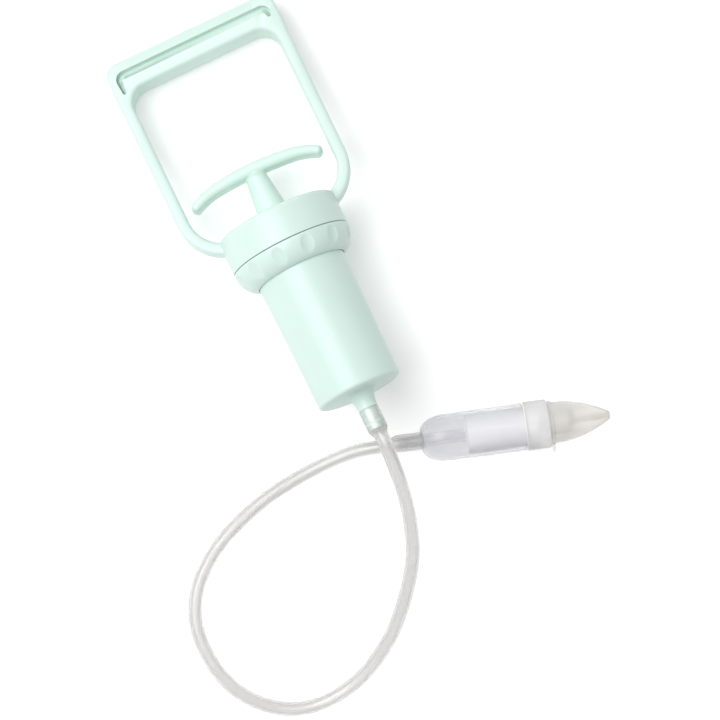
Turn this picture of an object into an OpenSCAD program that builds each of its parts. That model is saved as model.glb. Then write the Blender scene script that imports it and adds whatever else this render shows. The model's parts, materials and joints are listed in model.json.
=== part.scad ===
// Hand-squeezed nasal aspirator: a spring-return suction pump with a D-shaped handle and a
// finger bar, a clear hose, and a see-through collection chamber with a soft nose tip.
// Millimetres, +Z up. The object lies on its side on the plane z = 0: the pump rests on its
// cap and on the bar of its handle, and the hose and the chamber lie beside it.
// The pump is drawn standing up around its own axis, with z = 0 at the barrel's closed end,
// and pump_place() lays it down. The chamber is drawn the same way from its hose port.

/* [Barrel] */
// Outside diameter at the closed end
barrel_d = 34; // [30:0.5:42]
// Length from the closed end to the underside of the flange
barrel_l = 58.3; // [45:0.1:75]
// Growth of the outside radius from the closed end to the flange
barrel_flare = 0.8; // [0.3:0.1:1]
// Wall thickness at the closed end
barrel_wall = 2; // [1.5:0.1:3]
// Thickness of the closed end
floor_t = 2.2; // [1.6:0.1:3]
// Thickness of the flange
flange_t = 2.5; // [2:0.1:3.5]
// How far the flange stands out past the closed end's radius
flange_out = 2.2; // [1.9:0.1:2.6]

/* [Nozzle] */
// Diameter of the boss where it leaves the barrel
boss_d = 14.4; // [12:0.1:18]
// Length of the boss
boss_l = 6.9; // [5:0.1:9]
// Diameter of the hose spigot
spigot_d = 6.4; // [5.5:0.1:7.5]
// Length of the hose spigot
spigot_l = 8.8; // [7:0.1:12]
// Diameter of the air way
air_way_d = 2.6; // [2:0.1:3.2]

/* [Cap and grip ring] */
// Outside diameter of the cap
cap_d = 48.4; // [46:0.2:58]
// Height of the cap above the seam
cap_h = 14.1; // [12:0.1:18]
// Wall of the cap
cap_wall = 2.2; // [1.6:0.1:2.6]
// Thickness of the cap's top
cap_top_t = 2.5; // [2:0.1:3.5]
// Edge rounding of the cap's top
cap_round = 2.5; // [1.5:0.1:3.5]
// Height of the grip ring below the seam
ring_h = 9.2; // [9:0.1:12]
// Gap that shows between the cap and the ring
seam_gap = 0.4; // [0.3:0.05:0.8]
// Number of finger scallops around the ring
scallop_count = 12; // [8:1:16]
// Radius of a scallop's cutter
scallop_r = 3.2; // [2.5:0.1:4]
// Depth of a scallop
scallop_depth = 0.8; // [0.4:0.1:1.2]
// Number of bayonet lugs
lug_count = 3; // [2:1:4]

/* [Handle] */
// Outside width of the frame
handle_w = 71.4; // [66:0.2:90]
// Clear height from the cap's top to the grip bar
handle_reach = 68.3; // [60:0.1:85]
// Height of the grip bar
grip_h = 12.2; // [10:0.1:15]
// Depth of the grip bar, front to back
grip_depth = 16; // [13:0.1:20]
// Edge rounding of the grip bar
grip_round = 1.5; // [1:0.1:2.5]
// Width of a side bar
side_w = 4.8; // [4:0.1:6]
// Depth of a side bar at the cap
side_depth = 9; // [7:0.1:11]
// Radius of the window's upper corners
window_round = 7.5; // [5:0.1:10]
// Radius of the frame's outer corners
frame_round = 5; // [3:0.1:7]
// Radius of the bend where a side bar turns in to the cap
bend_r = 16.4; // [14:0.1:20]
// Width of the groove in the grip bar's front
groove_w = 3.4; // [2:0.1:4]
// Depth of the groove
groove_depth = 3.4; // [0.6:0.1:4]
// Distance from the frame's top edge to the groove's centre line
groove_inset = 5.7; // [4:0.1:7]
// Length of the groove's turned-down left end
groove_left_leg = 6.5; // [2:0.1:8]
// Length of the groove's turned-down right end
groove_right_leg = 3; // [2:0.1:8]

/* [Finger bar] */
// Length from tip to tip
finger_w = 55; // [46:0.5:58]
// Height of its section in the middle
finger_h = 5; // [4:0.1:6]
// Height of its section at the tips
finger_tip_h = 3.4; // [2.6:0.1:4]
// Depth of its section, front to back
finger_depth = 11; // [8:0.1:13]
// Height of its centre line above the cap's top
finger_rise = 20.6; // [17:0.1:24]
// Diameter of the hub at the cap
hub_d = 12.6; // [10.5:0.1:14]
// Diameter of the hub at the bar
neck_d = 8.1; // [7.8:0.1:10]

/* [Plunger] */
// Diameter of the piston rod
rod_d = 6; // [5:0.1:6.2]
// Height of the piston
piston_h = 7; // [6.5:0.1:10]
// Height of the piston's underside above the closed end's outside
piston_rest = 8; // [7.8:0.1:12]
// Radial running clearance
run_gap = 0.05; // [0.03:0.01:0.1]
// Number of air holes in the piston
vent_count = 4; // [3:1:6]
// Lift of the exhaust valve
exhaust_lift = 1; // [0.6:0.1:1.2]
// Lift of the inlet valve
inlet_lift = 0.8; // [0.5:0.1:1]
// Wire diameter of the return spring
wire_d = 1.3; // [1:0.1:1.5]
// Mean diameter of the return spring
coil_d = 20.4; // [20:0.1:23]
// Number of open turns of the return spring
open_turns = 7; // [5:1:9]

/* [Hose] */
// Outside diameter
hose_d = 5.5; // [5:0.1:6]

/* [Chamber] */
// Outside diameter of the cup
cup_d = 18.2; // [16:0.1:22]
// Length of the cup from its port to its mouth
cup_l = 40.5; // [34:0.5:50]
// Wall of the cup
cup_wall = 1.2; // [1:0.1:1.6]
// Length of the cup's domed end
dome_l = 10; // [8:0.1:12]
// Growth of the cup's radius from its dome to its mouth
cup_flare = 0.25; // [0.1:0.05:0.4]
// Diameter of the inlet tube inside the cup
inner_tube_d = 5.2; // [4.5:0.1:6]
// How far the inlet tube reaches in
inner_tube_l = 17; // [12:0.5:20]
// Outside diameter of the collar
collar_d = 19.1; // [17.5:0.1:23]
// Length of the collar
collar_l = 9.2; // [7:0.1:12]
// Length of the sleeve below the collar
sleeve_l = 23; // [15:0.5:24]
// Wall of the sleeve
sleeve_wall = 1; // [0.8:0.1:1.3]
// Diameter of the nipple that carries the tip
nipple_d = 9.3; // [8:0.1:10]
// Length of the nipple
nipple_l = 8.5; // [7:0.1:10]
// Length of the nose tip
tip_l = 24; // [20:0.5:28]
// Diameter of the nose tip's rim
tip_rim_d = 17.2; // [15.5:0.1:18]
// Outlet diameter of the nose tip
tip_hole_d = 1.8; // [1.2:0.1:2.4]
// How far the tip's pull tab stands out
tab_out = 2.7; // [1.5:0.1:4]

/* [Hidden] */

$fn = 64;
mint = [0.78, 0.93, 0.87];
mint_light = [0.84, 0.96, 0.91];
clear = [0.90, 0.91, 0.92, 0.45];
milky = [0.93, 0.93, 0.93, 0.8];
silicone = [0.88, 0.87, 0.85, 0.6];
steel = [0.72, 0.73, 0.75];
rubber = [0.25, 0.26, 0.27];
cut = 0.01; // a cutter passes a face by this much

// Heights of the pump's stack, from the closed end
bore_r = barrel_d / 2 - barrel_wall;
barrel_top_r = barrel_d / 2 + barrel_flare;
flange_r = barrel_d / 2 + flange_out;
floor_round = 1.2;
gasket_t = 1.2;
ledge_t = 2;
z_gasket = barrel_l + flange_t;
z_ledge = z_gasket + gasket_t;
z_seam = z_ledge - seam_gap;
z_ring = z_seam - ring_h;
z_cap = z_seam + cap_h;
z_under = z_cap - cap_top_t;

// Cap, skirt and bayonet
skirt_in_r = flange_r + 0.15;
skirt_r = skirt_in_r + 0.9;
z_skirt = barrel_l - 1;
lug_t = 1.2;
lug_out = 0.6;
lug_gap = 0.2;
lug_angle = 34;
ring_bore_r = skirt_r + lug_out + lug_gap;
ring_wall = 1.2; // the ring keeps at least this much outside its bore
cap_r = max(cap_d / 2, ring_bore_r + ring_wall);
ring_hole_r = barrel_top_r + 0.2;
ring_ledge_r = flange_r - 0.1;
ring_foot_r = ring_hole_r + 0.75;

// Rod guide
rod_r = rod_d / 2;
bush_r = rod_r + 3;
guide_r = bush_r + 1.8;
bush_lip_t = 1;
wiper_t = 1.6;
z_guide = z_under - 9.2;
z_wiper = z_guide + 1;

// Piston and its valves
piston_r = bore_r - 0.4;
seal_r = bore_r - run_gap;
groove_r = piston_r - 2.2;
z_piston_top = piston_rest + piston_h;
seal_z = piston_rest + 3;
seal_t = 2;
collar_r = rod_r + 1.2;
keeper_r = rod_r + 2.6;
flap_t = 0.8;
flap_gap = 0.1;
flap_r = coil_d / 2 - wire_d / 2 - 0.6;
vent_r = 1;
vent_ring_r = (collar_r + flap_r) / 2 + 0.3;
z_keeper = z_piston_top + flap_gap + flap_t + exhaust_lift + 0.1;
keeper_t = 1.2;
screw_r = 1.5;
screw_head_r = 4.6;
screw_head_t = 2.6;
screw_l = 14;
disc_r = air_way_d / 2 + 2.9;
disc_t = 0.7;
disc_gap = 0.05;
cage_r = disc_r + 1.7;
cage_top_t = 0.7;
z_cage = floor_t + disc_gap + disc_t + inlet_lift + 0.15;

// Spring
seat_t = 1.2;
spring_gap = 0.1;
z_spring_low = z_piston_top + spring_gap + wire_d / 2;
z_spring_high = z_under - seat_t - wire_d / 2;
wire_sides = 8;
turn_steps = 16;

// Finger bar
z_finger = z_cap + finger_rise;
z_hub = z_cap + bush_lip_t + 0.2;
z_rod_top = z_finger - 7;
finger_mid = 16;
finger_mid_r = 120;
finger_end_r = 28;
finger_sides = 20;
finger_steps = 20;

// Handle
z_window = z_cap + handle_reach;
z_frame = z_window + grip_h;
frame_x = handle_w / 2;
window_x = frame_x - side_w;
bend_x = frame_x - side_w / 2 - bend_r;
strut_entry = z_cap - 2.5;
bend_turn = acos((cap_r - bend_x) / bend_r);
z_bend = strut_entry + bend_r * sin(bend_turn);
tab_w = 6;
tab_t = 3;
tab_in = 3.4;
tab_fit = 0.1;
z_groove = z_frame - groove_inset;
groove_x = frame_x - 2.4;

// How the pump lies: the cap's rounded edge and the grip bar's rounded edge both touch z = 0
rest_run = (z_frame - grip_round) - (z_cap - cap_round);
rest_drop = (cap_r - cap_round) - (grip_depth / 2 - grip_round);
tilt = atan(rest_drop / rest_run)
    + asin((cap_round - grip_round) / norm([rest_run, rest_drop]));
axis_z = (z_cap - cap_round) * sin(tilt) + (cap_r - cap_round) * cos(tilt) + cap_round;
nozzle_l = boss_l + spigot_l;
spigot_end_r = spigot_d / 2 - 0.2;
far_y = (z_frame - grip_round) * cos(tilt) + (grip_depth / 2 - grip_round) * sin(tilt)
    + grip_round;
near_y = -nozzle_l * cos(tilt) - spigot_end_r * sin(tilt);
axis_y = -(far_y + near_y) / 2;

// How the chamber lies: its collar touches z = 0, and it points along +X and a little -Y
chamber_yaw = -17.8;
port_r = 2.1;
port_l = 9;
neck_r = 3.5;
cup_r = cup_d / 2;
cup_in_r = cup_r - cup_wall;
sleeve_r = cup_in_r - run_gap;
sleeve_in_r = sleeve_r - sleeve_wall;
collar_wall = 0.8; // the collar keeps at least this much around the sleeve
tip_collar_r = max(collar_d / 2, sleeve_r + collar_wall);
chamber_port = [14, -97.5, max(tip_collar_r, cup_r + cup_flare)];
cup_gasket_t = 0.5;
z_collar = cup_l + cup_gasket_t;
z_collar_top = z_collar + collar_l;
collar_round = 1;
web_t = 1.5;
z_web = z_collar + 5;
nipple_r = nipple_d / 2;
nipple_round = 1.5;
z_nipple = z_collar_top + nipple_l;
tip_gap = 0.1;
z_tip = z_collar_top + tip_gap;
rim_t = 1.6;
tab_h = 1.2;
tab_side = 3;

// Hose: it leaves the nozzle along the pump's axis, falls to the table in a wide loop, passes
// under itself and rises to the chamber's port
hose_loop = [
    [-1.6, -110.7, 40.5], [-4.6, -124, 37], [-9.4, -136.2, 31.5], [-18.7, -149.5, 23],
    [-31, -161.8, 14], [-47.3, -170.9, 7], [-64.3, -173.4, 3.6], [-78.3, -169.4, 2.8],
    [-89.9, -158.8, 2.8], [-95.9, -144.7, 2.8], [-96.4, -128.5, 2.8], [-91.4, -115.4, 2.8],
    [-81.3, -104.9, 2.8], [-67.3, -97.3, 2.8], [-48.7, -91.8, 2.8], [-28.6, -89.8, 3.4],
    [-12.1, -90.2, 6.4]
];
hose_steps = 2;
hose_sides = 10;

// ---- placing ----

module pump_place() {
    translate([0, axis_y, axis_z])
        rotate([-(90 + tilt), 0, 0])
            children();
}

module chamber_place() {
    translate(chamber_port)
        rotate([0, 90, chamber_yaw])
            children();
}

// A point of the pump's axis, a distance past the closed end, where it lies
function nozzle_point(out) = [0, axis_y - out * cos(tilt), axis_z + out * sin(tilt)];

// A point of the chamber's axis, a distance before its port, where it lies
function port_point(before) =
    chamber_port - before * [cos(chamber_yaw), sin(chamber_yaw), 0];

// ---- shared shapes ----

function arc(centre, r, from, to, steps) =
    [for (i = [0 : steps]) let (a = from + (to - from) * i / steps)
        centre + r * [cos(a), sin(a)]];

module tube(r_out, r_in, z, h) {
    translate([0, 0, z])
        difference() {
            cylinder(r = r_out, h = h);
            translate([0, 0, -cut])
                cylinder(r = r_in, h = h + 2 * cut);
        }
}

// ---- barrel and cap ----

module barrel() {
    boss_curve = [for (i = [0 : 8]) let (a = 90 * i / 8)
        [boss_d / 2 - (boss_d / 2 - spigot_d / 2 - 0.8) * sin(a), -boss_l * (1 - cos(a))]];
    color(mint)
        pump_place()
            rotate_extrude()
                polygon(concat(
                    [[air_way_d / 2, floor_t], [air_way_d / 2, -nozzle_l]],
                    [[spigot_end_r, -nozzle_l], [spigot_d / 2 + 0.3, -nozzle_l + 3]],
                    [[spigot_d / 2, -nozzle_l + 3.4], [spigot_d / 2, -boss_l]],
                    [for (i = [8 : -1 : 0]) boss_curve[i]],
                    arc([barrel_d / 2 - floor_round, floor_round], floor_round, -90, 0, 6),
                    [[barrel_top_r, barrel_l], [flange_r, barrel_l]],
                    [[flange_r, z_gasket], [bore_r, z_gasket], [bore_r, floor_t]]
                ));
}

module barrel_gasket() {
    color(rubber)
        pump_place()
            tube(flange_r - 0.4, bore_r + 1.6, z_gasket, gasket_t);
}

module cap_solid() {
    rotate_extrude()
        polygon(concat(
            [[0, z_ledge], [cap_r, z_ledge]],
            arc([cap_r - cap_round, z_cap - cap_round], cap_round, 0, 90, 8),
            [[0, z_cap]]
        ));
}

module lug_ring(r_in, r_out, z) {
    for (i = [0 : lug_count - 1])
        rotate([0, 0, i * 360 / lug_count - lug_angle / 2])
            rotate_extrude(angle = lug_angle)
                translate([r_in, z])
                    square([r_out - r_in, lug_t]);
}

module cap_shell() {
    color(mint_light)
        pump_place() {
            difference() {
                union() {
                    cap_solid();
                    tube(skirt_r, skirt_in_r, z_skirt, z_ledge + cut - z_skirt);
                    lug_ring(skirt_r - cut, skirt_r + lug_out, z_skirt);
                }
                // the mouth over the barrel's bore, inside the ledge that clamps the gasket
                translate([0, 0, z_ledge - cut])
                    cylinder(r = bore_r + 1.2, h = ledge_t + 2 * cut);
                // inside of the shell, around the rod's guide
                tube(cap_r - cap_wall, guide_r, z_ledge + ledge_t, z_under - z_ledge - ledge_t);
                translate([0, 0, z_ledge])
                    cylinder(r = guide_r + cut, h = z_guide - z_ledge);
                translate([0, 0, z_wiper])
                    cylinder(r = bush_r, h = z_cap - z_wiper + cut);
                translate([0, 0, z_guide - cut])
                    cylinder(r = rod_r + 1, h = z_wiper - z_guide + 2 * cut);
                // pockets for the handle's tabs
                for (side = [-1, 1])
                    translate([side * (cap_r - tab_in / 2), 0, strut_entry])
                        cube([tab_in + 2 * tab_fit, tab_w + 2 * tab_fit, tab_t + 2 * tab_fit],
                            center = true);
            }
        }
}

module grip_ring() {
    bulge_x = cap_r - ring_foot_r;
    bulge = [for (i = [0 : 12]) let (a = 78 * i / 12)
        [ring_foot_r + bulge_x * (cos(a) - cos(78)) / (1 - cos(78)),
         z_seam - ring_h * sin(a) / sin(78)]];
    // the cutter's axis runs from just outside the ring's upper edge to just outside its foot
    lean = atan((bulge[2].x - bulge[11].x) / (bulge[2].y - bulge[11].y));
    color(mint)
        pump_place() {
            difference() {
                rotate_extrude()
                    polygon(concat(
                        [[ring_hole_r, z_ring]],
                        [[ring_hole_r, barrel_l - lug_gap], [ring_ledge_r, barrel_l - lug_gap]],
                        [[ring_ledge_r, z_skirt - 0.5], [ring_bore_r, z_skirt - 0.5]],
                        [[ring_bore_r, z_seam]],
                        bulge
                    ));
                for (i = [0 : scallop_count - 1])
                    rotate([0, 0, (i + 0.5) * 360 / scallop_count])
                        translate([bulge[7].x + scallop_r - scallop_depth, 0, bulge[7].y])
                            rotate([0, lean, 0])
                                cylinder(r = scallop_r, h = 2 * ring_h, center = true);
            }
            rotate([0, 0, 4])
                lug_ring(ring_bore_r - lug_out, ring_bore_r + cut, z_skirt + lug_t + lug_gap);
        }
}

// ---- handle ----

module frame_outline() {
    difference() {
        union() {
            translate([-frame_x, z_bend])
                square([2 * frame_x, z_frame - frame_round - z_bend]);
            translate([-frame_x + frame_round, z_bend])
                square([2 * (frame_x - frame_round), z_frame - z_bend]);
            for (side = [-1, 1])
                translate([side * (frame_x - frame_round), z_frame - frame_round])
                    circle(r = frame_round);
            for (side = [-1, 1])
                translate([side * bend_x, z_bend])
                    circle(r = bend_r + side_w / 2);
        }
        window_outline();
    }
}

module window_outline() {
    translate([-window_x, z_bend])
        square([2 * window_x, z_window - window_round - z_bend]);
    translate([-window_x + window_round, z_bend])
        square([2 * (window_x - window_round), z_window - z_bend]);
    for (side = [-1, 1])
        translate([side * (window_x - window_round), z_window - window_round])
            circle(r = window_round);
    for (side = [-1, 1])
        translate([side * bend_x, z_bend])
            circle(r = bend_r - side_w / 2);
    translate([-bend_x, z_bend - 2 * bend_r])
        square([2 * bend_x, 2 * bend_r + cut]);
}

// Front-to-back outline: deep at the grip bar, slimmer at the side bars
module frame_side() {
    deep = grip_depth / 2;
    slim = side_depth / 2;
    z_deep = z_window - window_round;
    z_slim = z_deep - 36;
    polygon(concat(
        [[-slim, z_ring], [slim, z_ring], [slim, z_slim], [deep, z_deep]],
        arc([deep - grip_round, z_frame - grip_round], grip_round, 0, 90, 6),
        arc([-deep + grip_round, z_frame - grip_round], grip_round, 90, 180, 6),
        [[-deep, z_deep], [-slim, z_slim]]
    ));
}

module groove_outline() {
    legs = [[-1, groove_left_leg], [1, groove_right_leg]];
    translate([-groove_x + groove_w, z_groove - groove_w / 2])
        square([2 * (groove_x - groove_w), groove_w]);
    for (leg = legs) {
        // a quarter bend, then the leg with a round end
        translate([leg[0] * (groove_x - groove_w), z_groove - groove_w / 2])
            intersection() {
                circle(r = groove_w);
                translate([leg[0] > 0 ? 0 : -groove_w, 0])
                    square(groove_w);
            }
        translate([leg[0] * (groove_x - groove_w / 3) - groove_w / 3, z_groove - leg[1]])
            square([groove_w * 2 / 3, leg[1] - groove_w / 2 + cut]);
        translate([leg[0] * (groove_x - groove_w / 3), z_groove - leg[1]])
            circle(r = groove_w / 3);
    }
}

module handle_frame() {
    color(mint_light)
        pump_place() {
            difference() {
                intersection() {
                    rotate([90, 0, 0])
                        linear_extrude(grip_depth, center = true)
                            frame_outline();
                    rotate([90, 0, 90])
                        linear_extrude(handle_w, center = true)
                            frame_side();
                }
                cap_solid();
                translate([0, 0, z_ring - cut])
                    cylinder(r = cap_r, h = z_seam - z_ring + 1);
                translate([0, -grip_depth / 2 + groove_depth, 0])
                    rotate([90, 0, 0])
                        linear_extrude(groove_depth + 1)
                            groove_outline();
            }
            for (side = [-1, 1])
                translate([side * (cap_r + 0.4 - tab_in / 2), 0, strut_entry])
                    cube([tab_in + 0.8, tab_w, tab_t], center = true);
        }
}

// ---- rod guide and spring ----

module guide_bush() {
    color("whitesmoke")
        pump_place() {
            tube(bush_r, rod_r + run_gap, z_wiper + wiper_t, z_cap - z_wiper - wiper_t);
            tube(bush_r + 1.6, rod_r + run_gap, z_cap, bush_lip_t);
        }
}

module rod_wiper() {
    color(rubber)
        pump_place()
            tube(bush_r, rod_r + run_gap, z_wiper, wiper_t);
}

module spring_seat() {
    color(steel)
        pump_place()
            tube(coil_d / 2 + wire_d + 0.7, guide_r + 0.1, z_under - seat_t, seat_t);
}

// Height of the wire's centre after a number of turns: a closed turn at each end, open turns
// between them
function wire_z(turn) =
    let (pitch = (z_spring_high - z_spring_low - 2 * wire_d) / open_turns)
    turn < 1 ? z_spring_low + turn * wire_d
    : turn < 1 + open_turns ? z_spring_low + wire_d + (turn - 1) * pitch
    : z_spring_high - (open_turns + 2 - turn) * wire_d;

// Closed surface around a list of rings, each with the same number of points
module swept(rings) {
    sides = len(rings[0]);
    last = len(rings) - 1;
    faces = concat(
        [[for (j = [0 : sides - 1]) j]],
        [for (i = [0 : last - 1], j = [0 : sides - 1])
            let (a = i * sides + j, b = i * sides + (j + 1) % sides)
            [a, a + sides, b + sides, b]],
        [[for (j = [sides - 1 : -1 : 0]) last * sides + j]]
    );
    polyhedron([for (ring = rings) for (p = ring) p], faces, convexity = 10);
}

module return_spring() {
    steps = (open_turns + 2) * turn_steps;
    rings = [for (i = [0 : steps]) let (turn = i / turn_steps, a = 360 * turn)
        [for (j = [0 : wire_sides - 1]) let (b = 360 * j / wire_sides,
            r = coil_d / 2 + wire_d / 2 * cos(b))
            [r * cos(a), r * sin(a), wire_z(turn) + wire_d / 2 * sin(b)]]];
    color(steel)
        pump_place()
            swept(rings);
}

// ---- plunger ----

// Height of the bar's centre line and its slope, at a distance x from the middle: a long flat
// arc that runs into a tighter one at each end
mid_turn = asin(finger_mid / finger_mid_r);
bend_z = z_finger - finger_mid_r + (finger_mid_r - finger_end_r) * cos(mid_turn);
bend_off = finger_mid - finger_end_r * sin(mid_turn);

function finger_turn(x) = sign(x) * (abs(x) < finger_mid
    ? asin(abs(x) / finger_mid_r)
    : asin((abs(x) - bend_off) / finger_end_r));

function finger_z(x) = abs(x) < finger_mid
    ? z_finger - finger_mid_r + finger_mid_r * cos(finger_turn(x))
    : bend_z + finger_end_r * cos(finger_turn(x));

// Height of the section at a distance x from the middle
function finger_high(x) =
    finger_tip_h + (finger_h - finger_tip_h) * (1 - pow(2 * x / finger_w, 2));

// Share of the full section left at a distance x from the middle, for the round ends
function finger_full(x) =
    let (left = min(1, (finger_w / 2 - abs(x)) / (finger_tip_h / 2)))
    max(0.15, sqrt(1 - pow(1 - left, 2)));

// A section with flat top and bottom and round front and back, square to the bar
function finger_ring(x) =
    let (turn = finger_turn(x), r = finger_high(x) / 2 * finger_full(x),
        flat = (finger_depth - finger_high(x)) / 2 * (0.4 + 0.6 * finger_full(x)))
    [for (j = [0 : finger_sides - 1]) let (a = 360 * (j + 0.5) / finger_sides,
        rise = r * sin(a), deep = r * cos(a) + sign(cos(a)) * flat)
        [x + rise * sin(turn), deep, finger_z(x) + rise * cos(turn)]];

module finger_bar() {
    rings = [for (i = [-finger_steps : finger_steps])
        finger_ring((finger_w / 2 - 0.02) * sin(90 * i / finger_steps))];
    color(mint)
        pump_place()
            difference() {
                union() {
                    swept(rings);
                    translate([0, 0, z_hub])
                        cylinder(d1 = hub_d, d2 = neck_d, h = z_finger - z_hub);
                }
                translate([0, 0, z_hub - cut])
                    cylinder(r = rod_r, h = z_rod_top - z_hub + cut);
            }
}

module piston_rod() {
    color("whitesmoke")
        pump_place()
            difference() {
                union() {
                    translate([0, 0, piston_rest])
                        cylinder(r = rod_r, h = z_rod_top - piston_rest);
                    translate([0, 0, z_piston_top])
                        cylinder(r = collar_r, h = z_keeper - z_piston_top);
                    translate([0, 0, z_keeper])
                        cylinder(r = keeper_r, h = keeper_t);
                }
                translate([0, 0, piston_rest - cut])
                    cylinder(r = screw_r, h = screw_l + cut);
            }
}

module piston_head() {
    color("whitesmoke")
        pump_place()
            difference() {
                rotate_extrude()
                    polygon([
                        [rod_r, piston_rest], [piston_r, piston_rest],
                        [piston_r, seal_z], [groove_r, seal_z],
                        [groove_r, seal_z + seal_t], [piston_r, seal_z + seal_t],
                        [piston_r, z_piston_top], [rod_r, z_piston_top]
                    ]);
                for (i = [0 : vent_count - 1])
                    rotate([0, 0, i * 360 / vent_count])
                        translate([vent_ring_r, 0, piston_rest - cut])
                            cylinder(r = vent_r, h = piston_h + 2 * cut);
            }
}

module piston_seal() {
    color(rubber)
        pump_place()
            rotate_extrude()
                polygon([
                    [groove_r, seal_z + 0.05], [seal_r - 0.9, seal_z + 0.05],
                    [seal_r, seal_z + 0.5], [seal_r, seal_z + seal_t - 0.5],
                    [seal_r - 0.9, seal_z + seal_t - 0.05], [groove_r, seal_z + seal_t - 0.05]
                ]);
}

module piston_screw() {
    color(steel)
        pump_place()
            difference() {
                union() {
                    translate([0, 0, piston_rest - screw_head_t])
                        cylinder(r = screw_head_r, h = screw_head_t);
                    translate([0, 0, piston_rest - cut])
                        cylinder(r = screw_r, h = screw_l - 1);
                }
                // cross slot
                for (turn = [0, 90])
                    rotate([0, 0, turn])
                        translate([0, 0, piston_rest - screw_head_t])
                            cube([5, 1, 2.4], center = true);
            }
}

module exhaust_valve() {
    color(rubber)
        pump_place()
            tube(flap_r, collar_r + 0.15, z_piston_top + flap_gap, flap_t);
}

module inlet_valve() {
    color(rubber)
        pump_place()
            translate([0, 0, floor_t + disc_gap])
                cylinder(r = disc_r, h = disc_t);
}

module valve_cage() {
    color("whitesmoke")
        pump_place()
            difference() {
                translate([0, 0, floor_t])
                    cylinder(r = cage_r, h = z_cage + cage_top_t - floor_t);
                translate([0, 0, floor_t - cut])
                    cylinder(r = disc_r + 0.3, h = z_cage - floor_t + cut);
                for (i = [0 : vent_count - 1])
                    rotate([0, 0, i * 360 / vent_count])
                        translate([disc_r - 1.5, 0, z_cage - cut])
                            cylinder(r = 0.8, h = cage_top_t + 2 * cut);
            }
}

// ---- hose ----

hose_route = concat(
    [nozzle_point(boss_l), nozzle_point(nozzle_l), nozzle_point(nozzle_l + 8)],
    hose_loop,
    [port_point(port_l + 4), port_point(port_l / 2), port_point(0)]
);

function before(points, i) = i > 0 ? points[i - 1] : 2 * points[0] - points[1];

function after(points, i) =
    let (last = len(points) - 1)
    i + 2 <= last ? points[i + 2] : 2 * points[last] - points[last - 1];

// A smooth curve through the points, a fraction t of the way from point i to the next
function on_curve(points, i, t) =
    let (a = before(points, i), b = points[i], c = points[i + 1], d = after(points, i))
    b + t / 2 * ((c - a) + t * (2 * a - 5 * b + 4 * c - d) + t * t * (3 * b - a - 3 * c + d));

function along(points, i, t) =
    let (a = before(points, i), b = points[i], c = points[i + 1], d = after(points, i))
    (c - a) / 2 + t * (2 * a - 5 * b + 4 * c - d) + 1.5 * t * t * (3 * b - a - 3 * c + d);

function hose_ring(centre, way) =
    let (ahead = way / norm(way), flat = cross([0, 0, 1], ahead),
        across = flat / norm(flat), up = cross(ahead, across))
    [for (j = [0 : hose_sides - 1]) let (a = 360 * (j + 0.5) / hose_sides)
        centre + hose_d / 2 * (cos(a) * across + sin(a) * up)];

module hose() {
    legs = len(hose_route) - 1;
    rings = concat(
        [for (i = [0 : legs - 1], k = [0 : hose_steps - 1])
            hose_ring(on_curve(hose_route, i, k / hose_steps),
                along(hose_route, i, k / hose_steps))],
        [hose_ring(hose_route[legs], along(hose_route, legs - 1, 1))]
    );
    color(clear)
        swept(rings);
}

// ---- chamber ----

module chamber_cup() {
    mouth_r = cup_r + cup_flare;
    outside = [for (i = [0 : 12]) let (a = 90 * i / 12)
        [neck_r + (cup_r - neck_r) * sin(a), dome_l * (1 - cos(a))]];
    inside = [for (i = [12 : -1 : 0]) let (a = 90 * i / 12)
        [inner_tube_d / 2 + (cup_in_r - inner_tube_d / 2) * sin(a),
         cup_wall + (dome_l - cup_wall) * (1 - cos(a))]];
    color(clear)
        chamber_place()
            rotate_extrude()
                polygon(concat(
                    [[air_way_d / 2, inner_tube_l], [air_way_d / 2, -port_l]],
                    [[port_r, -port_l], [port_r, 0]],
                    outside,
                    [[mouth_r, cup_l], [cup_in_r, cup_l]],
                    inside,
                    [[inner_tube_d / 2, inner_tube_l]]
                ));
}

module chamber_sleeve() {
    color(milky)
        chamber_place()
            tube(sleeve_r, sleeve_in_r, z_collar - sleeve_l, sleeve_l + z_web - z_collar);
}

module chamber_gasket() {
    color(silicone)
        chamber_place()
            tube(cup_r, sleeve_r, cup_l + cut, cup_gasket_t - cut);
}

module tip_collar() {
    color(milky)
        chamber_place()
            rotate_extrude()
                polygon(concat(
                    [[sleeve_r, z_collar], [tip_collar_r, z_collar]],
                    arc([tip_collar_r - collar_round, z_collar_top - collar_round], collar_round, 0, 90, 5),
                    [[nipple_r, z_collar_top]],
                    arc([nipple_r - nipple_round, z_nipple - nipple_round], nipple_round,
                        0, 90, 5),
                    [[air_way_d / 2, z_nipple], [air_way_d / 2, z_web + web_t]],
                    [[air_way_d / 2, z_web], [sleeve_r, z_web]]
                ));
}

module nose_tip() {
    rim_r = tip_rim_d / 2;
    top = z_tip + tip_l;
    tip_end_r = tip_hole_d / 2 + 0.9;
    shoulder_r = rim_r - 0.5;
    // an ogive that runs from the rim to the outlet
    ogive = [for (i = [0 : 14]) let (t = i / 14)
        [tip_end_r + (shoulder_r - tip_end_r) * (1 - pow(t, 2.1)),
         z_tip + rim_t + (tip_l - rim_t - 0.6) * t]];
    color(silicone)
        chamber_place()
            union() {
                rotate_extrude()
                    polygon(concat(
                        [[nipple_r + run_gap, z_tip], [rim_r, z_tip], [rim_r, z_tip + rim_t]],
                        ogive,
                        [[tip_end_r - 0.5, top], [tip_hole_d / 2, top]],
                        [[tip_hole_d / 2, z_nipple + 2.2], [nipple_r - 1.2, z_nipple + 0.4]],
                        [[nipple_r + run_gap, z_nipple - 1]]
                    ));
                translate([-tab_side / 2, -rim_r - tab_out, z_tip + 0.2])
                    cube([tab_side, tab_out + 0.6, tab_h]);
            }
}

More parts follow.
